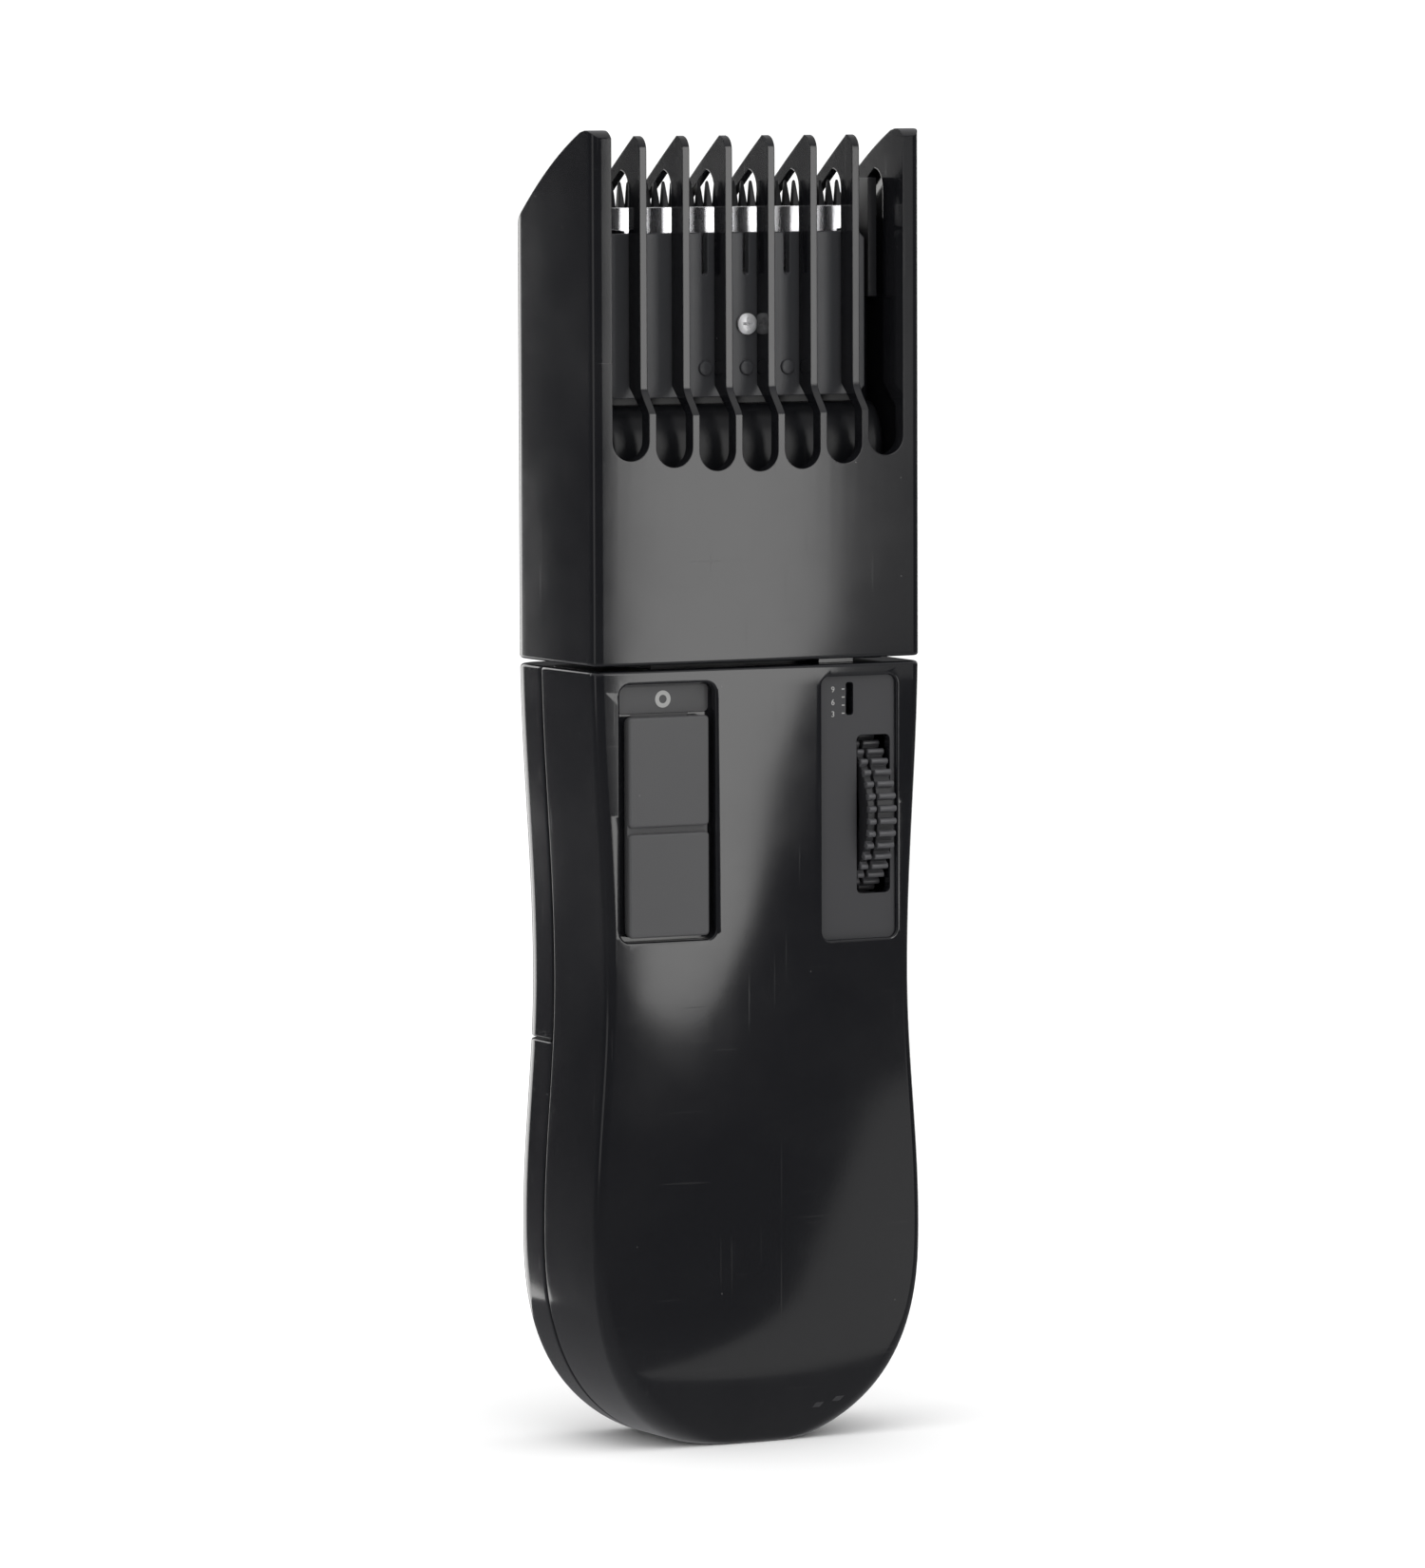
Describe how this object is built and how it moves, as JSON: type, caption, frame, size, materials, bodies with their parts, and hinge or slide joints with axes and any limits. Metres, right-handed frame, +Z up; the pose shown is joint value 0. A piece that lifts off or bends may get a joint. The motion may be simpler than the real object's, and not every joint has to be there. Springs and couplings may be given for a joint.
{
  "type": "cordless body groomer",
  "caption": "Upright battery hair groomer: waisted glossy handle, slide switch, comb-length wheel, toothed blades inside a tall slotted guide comb that lifts off.",
  "frame": {"origin": "centre of the flat base, on the plane it stands on", "axes": "+Z up the length to the comb tips, -Y out of the front face with the controls, -X towards the slide switch, +X towards the length wheel"},
  "size_m": [0.0438, 0.0237, 0.154],
  "materials": {
    "gloss_black_plastic": "high gloss moulded ABS",
    "black_moulding": "satin moulded",
    "grey_moulding": "satin moulded",
    "matte_grey_pad": "fine spark texture",
    "ground_steel": "ground",
    "nickel_plate": "nickel plated spring steel",
    "contact_brass": "stamped",
    "winding_copper": "enamelled winding",
    "white_nylon": "self-lubricating nylon",
    "cell_wrap": null,
    "red_insulation": "soft insulation",
    "blue_insulation": "soft insulation"
  },
  "bodies": {
    "handle": {"front_shell": "gloss_black_plastic", "rear_shell": "gloss_black_plastic", "head_housing": "gloss_black_plastic", "head_plate": "grey_moulding", "head_plate_screw": "ground_steel", "blade_screw_left": "ground_steel", "blade_screw_right": "ground_steel", "shell_screw_left": "ground_steel", "shell_screw_right": "ground_steel", "fixed_blade": "ground_steel", "blade_spring": "ground_steel", "blade_holder": "black_moulding", "motor_can": "ground_steel", "motor_end_cap": "white_nylon", "rocker_pin": "ground_steel", "motor_bracket": "black_moulding", "wheel_axle": "ground_steel", "wheel_bracket": "black_moulding", "switch_board": "black_moulding", "battery_cell_left": "cell_wrap", "battery_cell_right": "cell_wrap", "contact_bridge": "nickel_plate", "contact_plus": "nickel_plate", "contact_minus": "nickel_plate", "battery_spring_left": "nickel_plate", "battery_spring_right": "nickel_plate", "battery_bulkhead": "black_moulding", "lead_red": "red_insulation", "lead_blue": "blue_insulation"},
    "cover": {"battery_cover": "gloss_black_plastic"},
    "switch": {"switch_slider": "matte_grey_pad", "switch_contact": "contact_brass"},
    "wheel": {"length_wheel": "black_moulding", "length_pinion": "white_nylon"},
    "carriage": {"comb_carriage": "black_moulding", "length_pointer": "white_nylon"},
    "comb": {"guide_comb": "gloss_black_plastic"},
    "rocker": {"drive_rocker": "white_nylon"},
    "blade": {"moving_blade": "ground_steel"},
    "rotor": {"motor_rotor": "winding_copper", "motor_shaft": "ground_steel", "eccentric_cam": "white_nylon"}
  },
  "joints": [
    {"name": "cover_lift", "type": "slide", "parent": "handle", "child": "cover", "axis": [0, 1, 0], "range_m": [0, 0.03]},
    {"name": "switch_slide", "type": "slide", "parent": "handle", "child": "switch", "axis": [0, 0, 1], "range_m": [0, 0.0037]},
    {"name": "comb_raise", "type": "slide", "parent": "handle", "child": "carriage", "axis": [0, 0, 1], "range_m": [0, 0.009]},
    {"name": "length_wheel_turn", "type": "hinge", "parent": "handle", "child": "wheel", "pos_m": [0.01525, -0.0024, 0.0736], "axis": [-1, 0, 0], "range_deg": [0, 148]},
    {"name": "comb_pull", "type": "slide", "parent": "carriage", "child": "comb", "axis": [0, 0, 1], "range_m": [0, 0.065]},
    {"name": "rocker_swing", "type": "hinge", "parent": "handle", "child": "rocker", "pos_m": [0, 0.0015, 0.112], "axis": [0, 1, 0], "range_deg": [-1.75, 1.75]},
    {"name": "blade_stroke", "type": "slide", "parent": "handle", "child": "blade", "axis": [1, 0, 0], "range_m": [-0.00085, 0.00085]},
    {"name": "motor_spin", "type": "hinge", "parent": "handle", "child": "rotor", "pos_m": [0, 0.0015, 0.0669], "axis": [0, 0, 1], "continuous": true}
  ],
  "couplings": [
    {"joint": "length_wheel_turn", "follows": "comb_raise", "rad_per_m": 285.71},
    {"joint": "blade_stroke", "follows": "rocker_swing", "m_per_rad": 0.0274}
  ]
}
